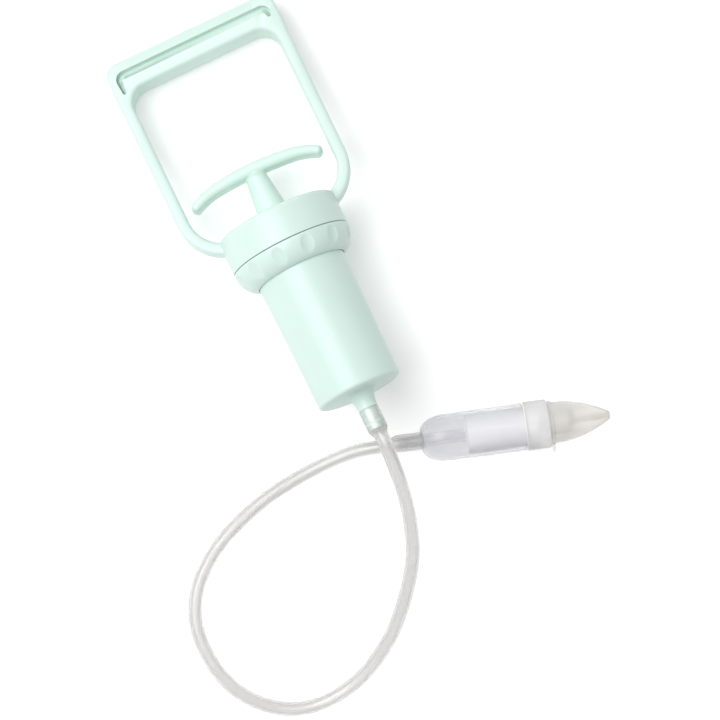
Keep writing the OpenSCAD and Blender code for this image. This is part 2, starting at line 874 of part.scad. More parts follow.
barrel();
barrel_gasket();
cap_shell();
grip_ring();
handle_frame();
guide_bush();
rod_wiper();
spring_seat();
return_spring();
finger_bar();
piston_rod();
piston_head();
piston_seal();
piston_screw();
exhaust_valve();
inlet_valve();
valve_cage();
hose();
chamber_cup();
chamber_sleeve();
chamber_gasket();
tip_collar();
nose_tip();
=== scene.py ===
# %% [markdown]
# # A hand-pumped nasal aspirator for a baby
#
# The real object is a small suction pump moulded in mint plastic. A parent holds the D-shaped
# frame and pulls the finger bar, a piston draws air through a clear hose, and a see-through
# chamber with a soft nose tip catches what comes. This lesson rebuilds its looks around a packed
# CAD model that already holds every part in its place. The CAD model is loaded first, because
# every piece made here rides on one of its bodies and lies where the CAD part lies.

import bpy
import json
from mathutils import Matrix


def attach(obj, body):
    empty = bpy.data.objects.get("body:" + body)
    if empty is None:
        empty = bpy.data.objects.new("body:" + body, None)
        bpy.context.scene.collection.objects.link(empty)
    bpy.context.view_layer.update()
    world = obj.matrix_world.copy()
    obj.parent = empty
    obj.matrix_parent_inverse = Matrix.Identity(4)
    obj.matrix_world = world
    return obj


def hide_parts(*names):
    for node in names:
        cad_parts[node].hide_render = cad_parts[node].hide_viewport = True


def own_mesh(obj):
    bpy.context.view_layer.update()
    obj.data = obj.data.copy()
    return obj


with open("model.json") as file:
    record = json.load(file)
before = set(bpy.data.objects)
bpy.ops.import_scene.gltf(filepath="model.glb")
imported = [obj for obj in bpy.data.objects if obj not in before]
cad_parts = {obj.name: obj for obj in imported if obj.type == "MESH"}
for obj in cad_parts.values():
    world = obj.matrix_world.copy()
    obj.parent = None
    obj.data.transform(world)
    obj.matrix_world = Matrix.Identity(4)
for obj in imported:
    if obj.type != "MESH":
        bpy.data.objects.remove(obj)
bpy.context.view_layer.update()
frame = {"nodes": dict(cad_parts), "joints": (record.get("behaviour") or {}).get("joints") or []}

import json
from functools import partial
from math import asin, atan2, cos, pi, radians, sin, sqrt, tan

import bmesh
import bpy
from mathutils import Matrix, Vector, kdtree

# %% [markdown]
# ## Two working frames
#
# The pump lies on its side with its nose end raised, so its axis isn't level. Turned parts are
# far easier to draw standing up, on their own axis, and to lay down afterwards. The lay-down
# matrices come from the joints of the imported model: the finger bar slides along the pump's axis,
# and the collar pulls out along the chamber's axis. Typing the angles in again would be the
# other way, and it would drift from the CAD as soon as that changed.

# %% The pump's frame and the chamber's frame
MM = 0.001
joints = {j["name"]: j for j in frame["joints"]}
pump_axis = Vector(joints["plunger_slide"]["axis"]).normalized()
pump_foot = Vector(joints["ring_twist"]["pos_m"])
chamber_axis = Vector(joints["insert_pull"]["axis"]).normalized()
chamber_port = Vector((14, -97.5, 9.55)) * MM  # open end of the cup's port


def lay_down(foot, along, across):
    """Matrix that takes a part drawn standing on its own +Z to where it lies."""
    back = along.cross(across)
    turn = Matrix((across, back, along)).transposed()
    return Matrix.Translation(foot) @ turn.to_4x4()


pump_place = lay_down(pump_foot, pump_axis, Vector((1, 0, 0)))
chamber_place = lay_down(chamber_port, chamber_axis, Vector((0, 0, -1)))
print("pump tilt", round(pump_axis.z, 4), "chamber points", [round(x, 3) for x in chamber_axis])

# %% [markdown]
# ## The camera
#
# The object lies on a table and is looked at from straight above, from far enough away that
# perspective is weak. A long lens high above the table gives that. The picture is turned, so
# that the pump's handle points to the upper left.

# %% Camera over the table
camera_spot = Vector((-0.060, 0.0056, 2.0))
camera_target = Vector((0.0065, -0.0593, 0))
PICTURE_TURN = radians(-25.57)
camera_data = bpy.data.cameras.new("Camera over the table")
camera_data.sensor_width = 36
camera_data.lens = 256.6
camera = bpy.data.objects.new("Camera over the table", camera_data)
towards_lens = (camera_spot - camera_target).normalized()
picture_right = Vector((cos(PICTURE_TURN), sin(PICTURE_TURN), 0))
picture_right = (picture_right - towards_lens * picture_right.dot(towards_lens)).normalized()
picture_up = towards_lens.cross(picture_right)
camera.matrix_world = Matrix.Translation(camera_spot) @ Matrix(
    (picture_right, picture_up, towards_lens)
).transposed().to_4x4()
bpy.context.scene.collection.objects.link(camera)
bpy.context.scene.camera = camera
print("camera at", [round(x, 4) for x in camera_spot])

# %% [markdown]
# ## Mesh helpers
#
# Nearly every part here is either turned on a lathe-like axis or swept along a line. Blender's
# Spin and Screw tools would turn an outline too, but building the rings in code keeps the poles
# clean and the edge rounding exact. An outline corner is given as radius, height and rounding,
# all in millimetres, and the helper puts an arc there, because moulded plastic has no sharp
# corners and the soft highlight along an edge is what makes it look moulded.

# %% Rounded outlines


def rounded(corners, steps=6):
    """Closed outline of (radius, height) points, with an arc at each corner that asks for one."""
    outline = []
    count = len(corners)
    for i, corner in enumerate(corners):
        here = Vector(corner[:2])
        rounding = corner[2] if len(corner) > 2 else 0
        if not rounding:
            outline.append(tuple(here))
            continue
        to_last = Vector(corners[i - 1][:2]) - here
        to_next = Vector(corners[(i + 1) % count][:2]) - here
        half = to_last.angle(to_next) / 2
        reach = min(rounding / tan(half), 0.49 * to_last.length, 0.49 * to_next.length)
        radius = reach * tan(half)
        middle = here + (to_last.normalized() + to_next.normalized()).normalized() * (
            radius / sin(half)
        )
        start = here + to_last.normalized() * reach - middle
        end = here + to_next.normalized() * reach - middle
        sweep = start.angle(end)
        for k in range(steps + 1):
            share = k / steps
            spoke = (start * sin((1 - share) * sweep) + end * sin(share * sweep)) / sin(sweep)
            outline.append(tuple(middle + spoke))
    return outline


# %% New meshes and turned solids
def new_object(name, points, faces, place=None, smooth_below=38):
    """Closed mesh from points in millimetres, with outward faces and soft shading."""
    mesh = bpy.data.meshes.new(name)
    mesh.from_pydata([Vector(p) * MM for p in points], [], faces)
    work = bmesh.new()
    work.from_mesh(mesh)
    bmesh.ops.remove_doubles(work, verts=work.verts, dist=1e-6)
    bmesh.ops.recalc_face_normals(work, faces=work.faces)
    work.to_mesh(mesh)
    work.free()
    if place is not None:
        mesh.transform(place)
    soften(mesh, smooth_below)
    made = bpy.data.objects.new(name, mesh)
    bpy.context.scene.collection.objects.link(made)
    return made


def soften(mesh, smooth_below=38):
    """Smooth shading, with a crease wherever two faces meet at more than the angle in degrees."""
    mesh.shade_smooth()
    mesh.set_sharp_from_angle(angle=radians(smooth_below))
    mesh.update()


def turned(name, outline, place, around=128, smooth_below=38):
    """Solid of revolution about +Z from a closed outline of (radius, height)."""
    count = len(outline)
    points = [
        (max(r, 0) * cos(2 * pi * i / around), max(r, 0) * sin(2 * pi * i / around), z)
        for i in range(around)
        for r, z in outline
    ]
    faces = [
        (
            i * count + j,
            (i + 1) % around * count + j,
            (i + 1) % around * count + (j + 1) % count,
            i * count + (j + 1) % count,
        )
        for i in range(around)
        for j in range(count)
    ]
    return new_object(name, points, faces, place, smooth_below)


# %% [markdown]
# A finished mesh is still only a shape. It also needs a finish, the body it moves with, and the
# CAD nodes that it stands in for. One function gives it all three,
# which is safer than three lines for each piece, where one is easily left out.

# %% What every finished piece is given


def settle(piece, material, body, slot, *nodes):
    """Gives a finished piece its material, its body and the CAD nodes it stands for; slot is not used."""
    piece.data.materials.clear()
    piece.data.materials.append(material)
    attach(piece, body)
    if nodes:
        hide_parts(*nodes)
    print(piece.name, "on", body, "with", len(piece.data.polygons), "faces")


# %% [markdown]
# ## Node helpers
#
# Every finish is procedural. Small helpers add a node with its values and join sockets, so that
# each material below reads as a short recipe.

# %% Shader node helpers


def add(tree, kind, values=None, **settings):
    made = tree.nodes.new(kind)
    for key, value in settings.items():
        setattr(made, key, value)
    for key, value in (values or {}).items():
        made.inputs[key].default_value = value
    return made


def maths(tree, operation, *terms, clamp=False):
    """Math node whose inputs are sockets or numbers; gives its output socket."""
    made = add(tree, "ShaderNodeMath", operation=operation, use_clamp=clamp)
    for i, term in enumerate(terms):
        if isinstance(term, bpy.types.NodeSocket):
            tree.links.new(term, made.inputs[i])
        else:
            made.inputs[i].default_value = term
    return made.outputs[0]


def new_group(name, ins, outs):
    """Shader node group with named sockets; ins gives defaults, and None is a vector."""
    group = bpy.data.node_groups.new(name, "ShaderNodeTree")
    for label, value in ins.items():
        kind = "NodeSocketVector" if value is None else "NodeSocketFloat"
        socket = group.interface.new_socket(label, in_out="INPUT", socket_type=kind)
        if value is not None:
            socket.default_value = value
    for label in outs:
        group.interface.new_socket(label, in_out="OUTPUT", socket_type="NodeSocketFloat")
    return group, group.nodes.new("NodeGroupInput"), group.nodes.new("NodeGroupOutput")


# %% [markdown]
# ## Shared effects
#
# Three effects come back in several finishes, so each is a node group. "Moulding grain" is the
# faint mottling and micro-texture of an injection mould. The edge group lightens convex edges
# in broken patches, from the mesh's own curvature. "Flow marks" are the long
# faint streaks that molten plastic leaves in clear parts, stretched along one direction.

# %% Moulding grain
grain, grain_in, grain_out = new_group(
    "Moulding grain", {"Place": None, "Cloud Scale": 60, "Grain Scale": 1800}, ["Clouds", "Grain"]
)
cloud = add(grain, "ShaderNodeTexNoise", {"Detail": 3, "Roughness": 0.55})
fine = add(grain, "ShaderNodeTexNoise", {"Detail": 2, "Roughness": 0.6})
for texture, scale in ((cloud, "Cloud Scale"), (fine, "Grain Scale")):
    grain.links.new(grain_in.outputs["Place"], texture.inputs["Vector"])
    grain.links.new(grain_in.outputs[scale], texture.inputs["Scale"])
grain.links.new(cloud.outputs["Fac"], grain_out.inputs["Clouds"])
grain.links.new(fine.outputs["Fac"], grain_out.inputs["Grain"])
print(grain.name, "has", len(grain.nodes), "nodes")

# %% Lighter convex edges
edge_lightening, edge_lightening_in, edge_lightening_out = new_group("Lighter convex edges", {"Place": None, "Reach": 0.06}, ["Mask"])
curvature = add(edge_lightening, "ShaderNodeNewGeometry").outputs["Pointiness"]
patchy = add(edge_lightening, "ShaderNodeTexNoise", {"Scale": 240, "Detail": 2})
edge_lightening.links.new(edge_lightening_in.outputs["Place"], patchy.inputs["Vector"])
sharpness = maths(
    edge_lightening, "DIVIDE", maths(edge_lightening, "SUBTRACT", curvature, 0.5), edge_lightening_in.outputs["Reach"], clamp=True
)
broken = maths(edge_lightening, "MULTIPLY_ADD", patchy.outputs["Fac"], 0.8, 0.35, clamp=True)
edge_lightening.links.new(maths(edge_lightening, "MULTIPLY", sharpness, broken), edge_lightening_out.inputs["Mask"])
print(edge_lightening.name, "has", len(edge_lightening.nodes), "nodes")

# %% Flow marks
flow, flow_in, flow_out = new_group(
    "Flow marks", {"Place": None, "Scale": 90, "Haze": 0.5}, ["Mask", "Height"]
)
streak = add(flow, "ShaderNodeTexNoise", {"Detail": 3, "Roughness": 0.5})
ripple = add(flow, "ShaderNodeTexNoise", {"Detail": 1, "Roughness": 0.4})
for texture in (streak, ripple):
    flow.links.new(flow_in.outputs["Place"], texture.inputs["Vector"])
flow.links.new(flow_in.outputs["Scale"], streak.inputs["Scale"])
flow.links.new(maths(flow, "MULTIPLY", flow_in.outputs["Scale"], 3.1), ripple.inputs["Scale"])
hazy = maths(flow, "MULTIPLY", streak.outputs["Fac"], flow_in.outputs["Haze"], clamp=True)
flow.links.new(hazy, flow_out.inputs["Mask"])
flow.links.new(ripple.outputs["Fac"], flow_out.inputs["Height"])
print(flow.name, "has", len(flow.nodes), "nodes; effects", [g.name for g in bpy.data.node_groups])

# %% [markdown]
# ## Recipes for opaque and for see-through plastic
#
# A moulded surface is a Principled shader whose colour drifts between two close tones, whose
# roughness follows the grain and whose bump is a fraction of a hundredth of a millimetre. A
# see-through part is the same shader with plain Transmission, and its haze and streaks change
# colour and roughness a little. Clear walls would cast black shadows on each other, so a ray on
# its way to a lamp passes straight through them and is only dimmed. One recipe function for each
# kind keeps the finishes alike.

# %% Parts that both recipes use


def place_socket(tree, turn=(0, 0, 0), stretch=(1, 1, 1)):
    """Object coordinates, turned and stretched by a Mapping node."""
    where = add(tree, "ShaderNodeTexCoord")
    mapping = add(tree, "ShaderNodeMapping", {"Rotation": turn, "Scale": stretch})
    tree.links.new(where.outputs["Object"], mapping.inputs["Vector"])
    return mapping.outputs["Vector"]


def blank_material(name, values):
    material = bpy.data.materials.new(name)
    material.use_nodes = True
    shader = material.node_tree.nodes["Principled BSDF"]
    for key, value in values.items():
        shader.inputs[key].default_value = value
    return material, material.node_tree, shader


def use_group(tree, group, place, **values):
    made = add(tree, "ShaderNodeGroup", node_tree=group)
    tree.links.new(place, made.inputs["Place"])
    for key, value in values.items():
        made.inputs[key.replace("_", " ")].default_value = value
    return made


def blend_colours(tree, mask, low, high):
    """Colour that runs from low to high with a mask; low may be a colour or a socket."""
    mix = add(tree, "ShaderNodeMix", data_type="RGBA")
    tree.links.new(mask, mix.inputs["Factor"])
    for socket, value in ((mix.inputs[6], low), (mix.inputs[7], high)):
        if isinstance(value, bpy.types.NodeSocket):
            tree.links.new(value, socket)
        else:
            socket.default_value = (*value, 1)
    return mix.outputs[2]


# %% Opaque plastic, rubber and metal


def solid_finish(
    name, tone, deep, edge, rough, rough_swing=0.08, bump=0.02, clouds=60, grains=1800, **plain
):
    """Opaque finish: two tones, lighter convex edges, and roughness and bump from the grain."""
    plain = {key.replace("_", " "): value for key, value in plain.items()}
    material, tree, shader = blank_material(name, plain)
    place = place_socket(tree)
    texture = use_group(tree, grain, place, Cloud_Scale=clouds, Grain_Scale=grains)
    lighter_edges = use_group(tree, edge_lightening, place)
    body = blend_colours(tree, texture.outputs["Clouds"], deep, tone)
    tree.links.new(blend_colours(tree, lighter_edges.outputs["Mask"], body, edge), shader.inputs["Base Color"])
    mixed = maths(tree, "ADD", texture.outputs["Clouds"], texture.outputs["Grain"])
    tree.links.new(
        maths(tree, "MULTIPLY_ADD", mixed, rough_swing, rough - rough_swing, clamp=True),
        shader.inputs["Roughness"],
    )
    relief = add(tree, "ShaderNodeBump", {"Strength": bump, "Distance": 0.0002})
    tree.links.new(texture.outputs["Grain"], relief.inputs["Height"])
    tree.links.new(relief.outputs["Normal"], shader.inputs["Normal"])
    return material


# %% See-through plastic and silicone


def let_lamps_through(tree, shader, share=0.85):
    """Rays from lamps pass through as if the wall were a tinted window, so no black shadow is cast."""
    ray = add(tree, "ShaderNodeLightPath")
    window = add(tree, "ShaderNodeBsdfTransparent", {"Color": (share, share, share, 1)})
    choice = add(tree, "ShaderNodeMixShader")
    tree.links.new(ray.outputs["Is Shadow Ray"], choice.inputs["Fac"])
    tree.links.new(shader.outputs["BSDF"], choice.inputs[1])
    tree.links.new(window.outputs["BSDF"], choice.inputs[2])
    tree.links.new(choice.outputs["Shader"], tree.nodes["Material Output"].inputs["Surface"])


def clear_finish(
    name, tone, haze, rough, cloudiness, turn=(0, 0, 0), stretch=(1, 1, 1), bump=0.05, along=None, **plain
):
    """See-through finish: flow marks drift its tint and roughness and ripple its surface.

    The marks follow an attribute of the mesh if along names one, and a turned frame otherwise.
    """
    plain = {key.replace("_", " "): value for key, value in plain.items()}
    material, tree, shader = blank_material(name, plain)
    if along:
        place = add(tree, "ShaderNodeAttribute", attribute_name=along).outputs["Vector"]
    else:
        place = place_socket(tree, turn, stretch)
    marks = use_group(tree, flow, place, Scale=90, Haze=cloudiness)
    tree.links.new(blend_colours(tree, marks.outputs["Mask"], tone, haze), shader.inputs["Base Color"])
    rougher = maths(tree, "MULTIPLY_ADD", marks.outputs["Mask"], 0.3, rough, clamp=True)
    tree.links.new(rougher, shader.inputs["Roughness"])
    relief = add(tree, "ShaderNodeBump", {"Strength": bump, "Distance": 0.0003})
    tree.links.new(marks.outputs["Height"], relief.inputs["Height"])
    tree.links.new(relief.outputs["Normal"], shader.inputs["Normal"])
    let_lamps_through(tree, shader)
    return material


# %% [markdown]
# ## The finishes
#
# The pump is a pale mint with a satin skin that lets a little light in, so it gets a touch of
# subsurface scattering. The inner parts are white acetal, dark rubber and bright spring wire. The
# hose is soft clear vinyl, the cup is hard clear plastic, the sleeve and the collar inside and
# above it are milky, and the nose tip is translucent silicone.

# %% Make the finishes
chamber_turn = (0, 0, -atan2(chamber_axis.y, chamber_axis.x))
mint_skin = {
    "Subsurface_Weight": 0.12, "Subsurface_Scale": 0.002, "Subsurface_Radius": (1.0, 1.0, 0.9), "IOR": 1.46
}
mint = solid_finish(
    "Mint satin plastic", (0.615, 0.77, 0.712), (0.59, 0.745, 0.69), (0.685, 0.83, 0.775), 0.38, **mint_skin
)
# The finger bar gets a lighter copy of the mint: painted light that makes up for the shade on its rounded
# top. The real bar is the same mint as the frame.
mint_lit_for_bar = solid_finish(
    "Mint satin plastic, finger bar lightened against shade", (0.655, 0.825, 0.758), (0.63, 0.80, 0.735), (0.715, 0.87, 0.81), 0.40,
    **mint_skin,
)
acetal = solid_finish(
    "White acetal", (0.86, 0.87, 0.86), (0.80, 0.81, 0.80), (0.92, 0.92, 0.92), 0.42, IOR=1.48
)
rubber = solid_finish(
    "Dark seal rubber", (0.030, 0.031, 0.033), (0.018, 0.018, 0.020), (0.06, 0.06, 0.062), 0.62,
    bump=0.12, grains=2600, IOR=1.52,
)
pale_seal = solid_finish(
    "Pale seal silicone", (0.78, 0.78, 0.77), (0.74, 0.74, 0.73), (0.82, 0.82, 0.81), 0.5, bump=0.08, IOR=1.42
)
steel = solid_finish(
    "Bright spring steel", (0.62, 0.63, 0.65), (0.52, 0.53, 0.55), (0.78, 0.78, 0.80), 0.28,
    rough_swing=0.12, bump=0.05, Metallic=1.0,
)
vinyl = clear_finish(
    "Clear soft vinyl", (0.875, 0.87, 0.865), (0.70, 0.695, 0.69), 0.07, 1.0,
    along="Along the tube", bump=0.03, Transmission_Weight=0.80, IOR=1.42,
)
clear_cup = clear_finish(
    "Clear cup plastic", (0.865, 0.865, 0.882), (0.77, 0.77, 0.795), 0.04, 0.6, chamber_turn, (0.25, 1, 1),
    Transmission_Weight=0.84, IOR=1.30,
)
milky = clear_finish(
    "Milky sleeve plastic", (0.925, 0.925, 0.928), (0.87, 0.87, 0.875), 0.30, 0.7, chamber_turn,
    (0.25, 1, 1), Transmission_Weight=0.55, IOR=1.20,
)
frosted = clear_finish(
    "Frosted collar plastic", (0.84, 0.84, 0.838), (0.80, 0.80, 0.795), 0.40, 0.6, chamber_turn, (0.4, 1, 1),
    Transmission_Weight=0.45, IOR=1.34,
)
silicone = clear_finish(
    "Nose tip silicone", (0.82, 0.805, 0.78), (0.73, 0.715, 0.69), 0.06, 0.8, chamber_turn, (0.35, 1, 1),
    Transmission_Weight=0.62, IOR=1.38,
)
print("finishes", len(bpy.data.materials))

# %% [markdown]
# ## The hose
#
# The hose is 5.5 mm soft vinyl. It leaves the raised nozzle straight, falls to the table in a
# wide loop, passes under itself and rises a little into the chamber's port. Both ends of it are
# stretched over spigots, which shows as a wider cuff. A curve with a bevel could give the loop,
# but not the hollow bore or the cuffs, so rings are set along a smooth curve through the route,
# outside and inside. It comes first, because its length and lie have to agree with the CAD.

# %% Route of the hose, as in the CAD
NOZZLE_BOSS = 6.9
NOZZLE_END = 15.7
PORT_LENGTH = 9


def nozzle_point(out):
    return (pump_foot - pump_axis * out * MM) / MM


def port_point(before):
    return (chamber_port - chamber_axis * before * MM) / MM


route = [nozzle_point(NOZZLE_BOSS), nozzle_point(NOZZLE_END), nozzle_point(NOZZLE_END + 8)]
route += [
    Vector(p)
    for p in (
        (-1.6, -110.7, 40.5), (-4.6, -124, 37), (-9.4, -136.2, 31.5), (-18.7, -149.5, 23),
        (-31, -161.8, 14), (-47.3, -170.9, 7), (-64.3, -173.4, 3.6), (-78.3, -169.4, 2.8),
        (-89.9, -158.8, 2.8), (-95.9, -144.7, 2.8), (-96.4, -128.5, 2.8), (-91.4, -115.4, 2.8),
        (-81.3, -104.9, 2.8), (-67.3, -97.3, 2.8), (-48.7, -91.8, 2.8), (-28.6, -89.8, 3.4),
        (-12.1, -90.2, 6.4),
    )
]
route += [port_point(PORT_LENGTH + 4), port_point(PORT_LENGTH / 2), port_point(0)]


def smooth_line(points, steps):
    """Catmull-Rom curve through the points."""
    ends = [2 * points[0] - points[1], *points, 2 * points[-1] - points[-2]]
    line = []
    for a, b, c, d in zip(ends, ends[1:], ends[2:], ends[3:]):
        for k in range(steps):
            t = k / steps
            bend = t * (2 * a - 5 * b + 4 * c - d) + t * t * (3 * b - a - 3 * c + d)
            line.append(b + t / 2 * ((c - a) + bend))
    return line + [points[-1]]


hose_line = smooth_line(route, 10)
hose_length = sum((b - a).length for a, b in zip(hose_line, hose_line[1:]))
print("hose length", round(hose_length, 1), "mm in", len(hose_line), "points")

# %% [markdown]
# The wall is built as two sleeves of rings, outer and inner, joined at the two cut ends. A frame
# of directions is carried along the curve from ring to ring, so that the tube never twists.

# %% Width of the hose, with a cuff at each end
HOSE_R = 2.75
BORE_R = 1.7


def eased(x):
    """Runs softly from 0 to 1 as x does."""
    x = min(1, max(0, x))
    return x * x * (3 - 2 * x)


def hose_radii(run):
    """Outside and inside radius at a distance along the hose: wider where it is stretched."""
    over_nozzle = 1 - eased((run - 8.6) / 3.2)
    over_port = eased((run - (hose_length - PORT_LENGTH - 2.2)) / 2.4)
    lip = 0.18 * (1 - eased(run / 0.8)) + 0.12 * eased((run - hose_length + 0.8) / 0.8)
    outer = HOSE_R + 1.22 * over_nozzle + 0.7 * over_port - lip
    inner = BORE_R + 1.62 * over_nozzle + 0.55 * over_port
    return outer, inner


print("radii in the middle", [round(r, 2) for r in hose_radii(hose_length / 2)])

# %% Rings along the hose, and the wall between them


def tube_rings(line, radii, sides=40):
    """Outer and inner rings square to a line, in a frame carried along it without twist."""
    outer_rings, inner_rings = [], []
    angles = [2 * pi * k / sides for k in range(sides)]
    ahead = (line[1] - line[0]).normalized()
    side = ahead.cross(Vector((0, 0, 1))).normalized()
    run = 0
    for i, centre in enumerate(line):
        last, following = line[max(i - 1, 0)], line[min(i + 1, len(line) - 1)]
        now = (following - last).normalized()
        side = (side - now * side.dot(now)).normalized()
        up = now.cross(side)
        run += (centre - last).length
        for rings, radius in zip((outer_rings, inner_rings), radii(run)):
            rings.append([centre + radius * (cos(a) * side + sin(a) * up) for a in angles])
    return outer_rings, inner_rings


def hollow(name, outer, inner):
    """Tube with a wall: rings outside, rings inside, and an annulus at each end."""
    loop = outer + inner[::-1]
    sides = len(outer[0])
    count = len(loop)
    faces = [
        (
            i * sides + j,
            i * sides + (j + 1) % sides,
            (i + 1) % count * sides + (j + 1) % sides,
            (i + 1) % count * sides + j,
        )
        for i in range(count)
        for j in range(sides)
    ]
    return new_object(name, [p for ring in loop for p in ring], faces)


# %% Coordinates that follow the hose


def follow_tube(tube, line):
    """Attribute whose X runs slowly along the tube and whose Y and Z go round it."""
    tree = kdtree.KDTree(len(line))
    for i, point in enumerate(line):
        tree.insert(point * MM, i)
    tree.balance()
    runs = [0.0]
    for a, b in zip(line, line[1:]):
        runs.append(runs[-1] + (b - a).length * MM)
    places = tube.data.attributes.new("Along the tube", "FLOAT_VECTOR", "POINT")
    for vertex, place in zip(tube.data.vertices, places.data):
        near, i, _ = tree.find(vertex.co)
        ahead = (line[min(i + 1, len(line) - 1)] - line[max(i - 1, 0)]).normalized()
        across = Vector((0, 0, 1)).cross(ahead).normalized()
        out = vertex.co - near
        place.vector = (runs[i] * 0.06, out.dot(across), out.dot(ahead.cross(across)))


# %% The hose itself
hose = hollow("hose_clear", *tube_rings(hose_line, hose_radii))
follow_tube(hose, hose_line)
settle(hose, vinyl, "pump", "clear_tube", "hose")

# %% [markdown]
# ## The barrel
#
# The barrel is one moulding: a cylinder with a little draft, a closed end with a boss that flares
# into the hose spigot, and a flange under the cap. It is a turned outline, walked once round the
# outside and back through the bore, so the wall has its real thickness.

# %% Barrel
BARREL_R = 17
BARREL_TOP_R = 17.8
BORE = 15
FLOOR_Z = 2.2
FLANGE_R = 19.2
FLANGE_Z = 58.3
FLANGE_TOP_Z = 60.8


def quarter(r_from, r_to, z_from, z_to, steps):
    """Quarter of an ellipse, as outline points, that leaves level and ends upright."""
    angles = [radians(90 * i / steps) for i in range(steps + 1)]
    return [(r_from + (r_to - r_from) * sin(a), z_from + (z_to - z_from) * (1 - cos(a))) for a in angles]


boss = quarter(7.2, 4.0, 0, -NOZZLE_BOSS, 12)
barrel_outline = rounded(
    [
        (1.3, FLOOR_Z), (1.3, -NOZZLE_END, 0.3), (3.0, -NOZZLE_END, 0.4), (3.5, -NOZZLE_END + 3, 0.3),
        (3.2, -NOZZLE_END + 3.4, 0.2), (3.2, -7.6, 0.5), *boss[::-1], (BARREL_R, 0, 1.3),
        (BARREL_TOP_R, FLANGE_Z), (FLANGE_R, FLANGE_Z, 0.3), (FLANGE_R, FLANGE_TOP_Z, 0.3),
        (BORE, FLANGE_TOP_Z, 0.4), (BORE, FLOOR_Z, 0.8),
    ]
)
barrel = turned("barrel_body", barrel_outline, pump_place, around=160)
settle(barrel, mint, "pump", "mint_plastic", "barrel")

# %% [markdown]
# ## The cap
#
# The cap is a deep round lid that screws down over the barrel's flange. What shows is its smooth
# wall with a soft top edge, and the hole for the rod's guide. The inside is drawn too, since the
# spring seats in it and the skirt carries the ring.

# %% Cap
CAP_R = 24.2
CAP_Z = 75.7
SEAM_Z = 61.6
cap = turned(
    "cap_shell_body",
    rounded(
        [
            (16.2, 62), (19.35, 62), (19.35, 57.3, 0.2), (20.25, 57.3, 0.2), (20.25, 61.9),
            (CAP_R, 61.9, 0.3), (CAP_R, CAP_Z, 2.5), (20.8, CAP_Z), (7.2, CAP_Z), (6, CAP_Z, 0.4),
            (6, 65), (4, 65), (4, 64), (7.8, 64), (7.8, 73.2, 0.5), (22, 73.2, 1.0), (22, 64, 0.5),
            (16.2, 64),
        ],
        steps=8,
    ),
    pump_place,
    around=192,
)
settle(cap, mint, "pump", "mint_plastic", "cap_shell")

# %% [markdown]
# ## The grip ring and its scallops
#
# Under the seam sits a ring that bulges out and tucks in towards the barrel. Twelve shallow
# finger scallops repeat around it. A repeat is work for Geometry Nodes: the tree takes the plain
# turned ring, finds how far each point is from the middle of its nearest scallop, and presses the
# skin in by a dish of that depth. Number, width, height and depth are named inputs, so another
# ring is a matter of four numbers. Cutting twelve holes with booleans would give ragged shading.

# %% Helpers for Geometry Nodes trees


def geometry_tree(name, ins):
    """Geometry Nodes tree with a geometry input and output and named number inputs."""
    tree = bpy.data.node_groups.new(name, "GeometryNodeTree")
    tree.interface.new_socket("Geometry", in_out="INPUT", socket_type="NodeSocketGeometry")
    kinds = {int: "NodeSocketInt", float: "NodeSocketFloat", bpy.types.Material: "NodeSocketMaterial"}
    for label, value in ins.items():
        socket = tree.interface.new_socket(label, in_out="INPUT", socket_type=kinds[type(value)])
        if not isinstance(value, bpy.types.Material):
            socket.default_value = value
    tree.interface.new_socket("Geometry", in_out="OUTPUT", socket_type="NodeSocketGeometry")
    return tree, tree.nodes.new("NodeGroupInput"), tree.nodes.new("NodeGroupOutput")


def finish_tree(tree, source, inputs, outputs):
    """Ends a tree in Realize Instances and Set Material, so that nothing is lost when it is baked."""
    real = add(tree, "GeometryNodeRealizeInstances")
    paint = add(tree, "GeometryNodeSetMaterial")
    tree.links.new(source, real.inputs[0])
    tree.links.new(real.outputs[0], paint.inputs["Geometry"])
    tree.links.new(inputs.outputs["Material"], paint.inputs["Material"])
    tree.links.new(paint.outputs[0], outputs.inputs[0])


def apply_modifiers(piece, place=None, smooth_below=38):
    """Keeps the plain mesh that a piece's modifiers make, laid down in its place if one is given."""
    bpy.context.view_layer.update()
    evaluated = piece.evaluated_get(bpy.context.evaluated_depsgraph_get())
    result = bpy.data.meshes.new_from_object(evaluated)
    piece.modifiers.clear()
    piece.data = result
    if place is not None:
        result.transform(place)
    soften(result, smooth_below)


def bake(piece, tree, values, place):
    """Runs a tree on a piece with its inputs set by identifier, and keeps the plain result."""
    modifier = piece.modifiers.new("Shape", "NODES")
    modifier.node_group = tree
    for item in tree.interface.items_tree:
        if item.in_out == "INPUT" and item.name in values:
            modifier[item.identifier] = values[item.name]
    apply_modifiers(piece, place)


# %% Tree that presses scallops into a turned ring
scallop_values = {
    "Scallops": 12, "Half Width": 2.75 * MM, "Half Height": 3.7 * MM, "Depth": 0.8 * MM,
    "Middle": 57.2 * MM, "Skin From": 18.9 * MM, "Material": mint,
}
press, press_in, press_out = geometry_tree("Pressed scallops", scallop_values)
where = add(press, "GeometryNodeInputPosition")
parts = add(press, "ShaderNodeSeparateXYZ")
press.links.new(where.outputs[0], parts.inputs[0])
x, y, z = parts.outputs
calc, given = partial(maths, press), press_in.outputs
radius = calc("SQRT", calc("ADD", calc("MULTIPLY", x, x), calc("MULTIPLY", y, y)))
turn = calc("MULTIPLY", calc("ARCTAN2", y, x), given["Scallops"])
within = calc("SUBTRACT", calc("FLOORED_MODULO", turn, 2 * pi), pi)
arc_off = calc("DIVIDE", calc("MULTIPLY", within, radius), given["Scallops"])
side_off = calc("DIVIDE", arc_off, given["Half Width"])
rise_off = calc("DIVIDE", calc("SUBTRACT", z, given["Middle"]), given["Half Height"])
spread = calc("ADD", calc("MULTIPLY", side_off, side_off), calc("MULTIPLY", rise_off, rise_off))
dish = calc("SUBTRACT", 1, spread, clamp=True)
outer_skin = calc("GREATER_THAN", radius, given["Skin From"])
push = calc("MULTIPLY", calc("MULTIPLY", dish, given["Depth"]), outer_skin)
